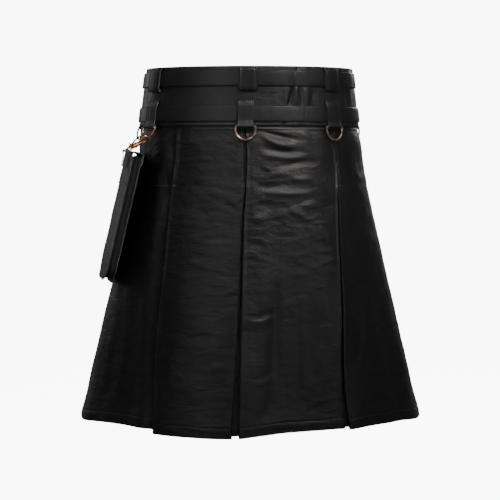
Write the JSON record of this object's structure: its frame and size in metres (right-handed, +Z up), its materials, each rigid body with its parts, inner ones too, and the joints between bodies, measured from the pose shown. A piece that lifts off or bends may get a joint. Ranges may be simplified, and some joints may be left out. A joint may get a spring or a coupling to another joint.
{
  "type": "leather kilt",
  "caption": "Black leather utility kilt with wide stitched pleats, deep waistband, strap belts in loops, hanging rings and a clip-on hip pocket, shaped as worn.",
  "frame": {"origin": "middle of the waist at the waistband's top edge, where the kilt is held on the body", "axes": "+Z up; -Y towards the wearer's back, the side the picture shows; +X towards the wearer's right"},
  "size_m": [0.5933, 0.4088, 0.6054],
  "materials": {
    "skirt_leather": "black, soft grain, low sheen",
    "pleat_leather": "black, soft grain, low sheen",
    "band_leather": "black, soft grain",
    "strap_leather": "black, smooth, slightly glossier",
    "loop_leather": "black, smooth, slightly glossier",
    "pocket_leather": "black, soft grain",
    "buckle_copper": "antique copper plate, satin",
    "ring_copper": "antique copper plate, satin",
    "hook_copper": "antique copper plate, satin"
  },
  "bodies": {
    "kilt": {"panel_back_left": "skirt_leather", "panel_back_right": "skirt_leather", "panel_side_left": "skirt_leather", "panel_side_right": "skirt_leather", "apron_over": "skirt_leather", "apron_under": "skirt_leather", "pleat_back": "pleat_leather", "pleat_right": "pleat_leather", "pleat_side_left": "pleat_leather", "pleat_side_right": "pleat_leather", "waistband": "band_leather", "strap_upper": "strap_leather", "buckle_upper": "buckle_copper", "prong_upper": "buckle_copper", "keeper_upper": "strap_leather", "strap_lower": "strap_leather", "buckle_lower": "buckle_copper", "prong_lower": "buckle_copper", "keeper_lower": "strap_leather", "loop_upper_back": "loop_leather", "loop_lower_back": "loop_leather", "loop_upper_right_rear": "loop_leather", "loop_lower_right_rear": "loop_leather", "loop_upper_right_front": "loop_leather", "loop_lower_right_front": "loop_leather", "loop_upper_left_front": "loop_leather", "loop_lower_left_front": "loop_leather", "ring_left_front": "ring_copper", "loop_upper_left_rear": "loop_leather", "loop_lower_left_rear": "loop_leather", "ring_left_rear": "ring_copper", "pocket_back": "pocket_leather", "pocket_front": "pocket_leather", "pocket_gusset": "pocket_leather", "pocket_flap": "pocket_leather", "pocket_tab_rear": "pocket_leather", "pocket_tab_front": "pocket_leather", "hook_rear": "hook_copper", "hook_front": "hook_copper"},
    "ring_back_body": {"ring_back": "ring_copper"},
    "ring_right_rear_body": {"ring_right_rear": "ring_copper"},
    "ring_right_front_body": {"ring_right_front": "ring_copper"}
  },
  "joints": [
    {"name": "ring_back_swing", "type": "hinge", "parent": "kilt", "child": "ring_back_body", "pos_m": [-0.00733, -0.14005, -0.0996], "axis": [-0.9998, 0.0212, 0], "range_deg": [0, 110]},
    {"name": "ring_right_rear_swing", "type": "hinge", "parent": "kilt", "child": "ring_right_rear_body", "pos_m": [0.141, -0.0953, -0.0996], "axis": [-0.7896, -0.6136, 0], "range_deg": [0, 110]},
    {"name": "ring_right_front_swing", "type": "hinge", "parent": "kilt", "child": "ring_right_front_body", "pos_m": [0.18414, 0.03941, -0.0996], "axis": [0.4111, -0.9116, 0], "range_deg": [0, 110]}
  ]
}
